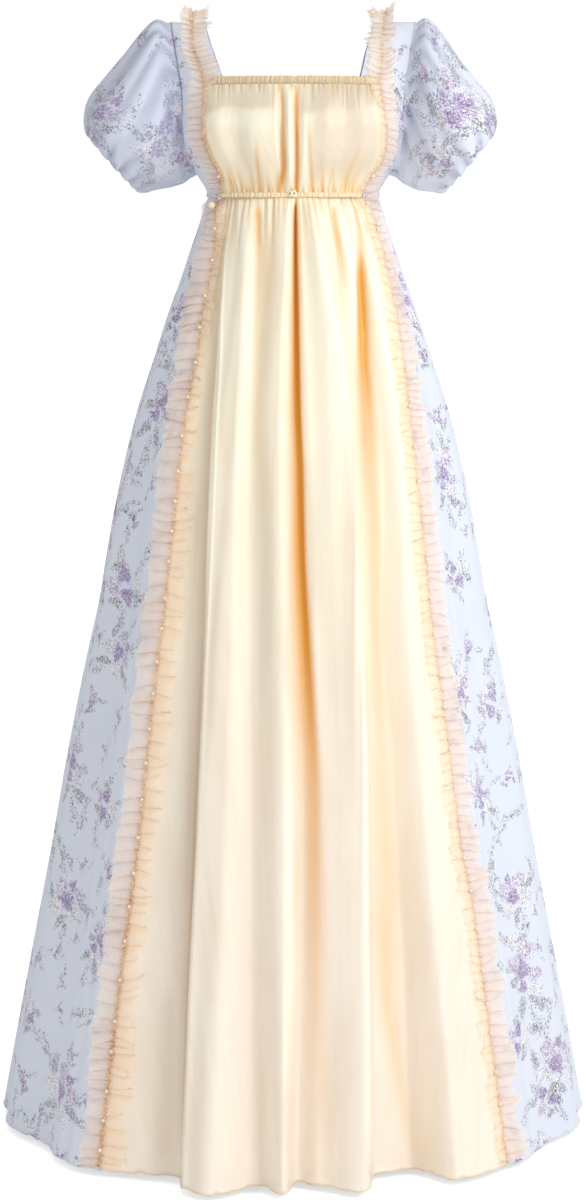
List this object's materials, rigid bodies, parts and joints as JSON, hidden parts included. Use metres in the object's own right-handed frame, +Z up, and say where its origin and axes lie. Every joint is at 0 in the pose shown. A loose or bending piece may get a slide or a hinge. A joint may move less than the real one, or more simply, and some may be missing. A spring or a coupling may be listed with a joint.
{
  "type": "empire waist dress",
  "caption": "Floor-length dress with a high gathered waist, short puff sleeves, a satin centre front and tulle ruffles down both front seams, in its worn shape with no wearer.",
  "frame": {"origin": "midway between the tops of the two shoulder straps, where the wearer's shoulders hold the dress", "axes": "+Z up, front of the dress faces -Y, +X to the right of someone who looks at the front"},
  "size_m": [0.7672, 0.7055, 1.4339],
  "materials": {
    "satin": "cream satin",
    "print": "matt pale blue cloth with a floral print",
    "tulle": "sheer peach tulle",
    "pearl": "pearl bead"
  },
  "bodies": {
    "root": {"skirt_front": "satin", "skirt_side_l": "print", "skirt_side_r": "print", "skirt_back_r": "print", "skirt_back_l": "print", "waist_casing_front": "satin", "waist_casing_back": "print", "bodice_front": "satin", "neck_casing_front": "satin", "bodice_side_l": "print", "bodice_side_r": "print", "bodice_back": "print", "sleeve_l": "print", "sleeve_r": "print", "ruffle_l": "tulle", "ruffle_r": "tulle", "pearl_waist_l": "pearl"}
  },
  "joints": []
}
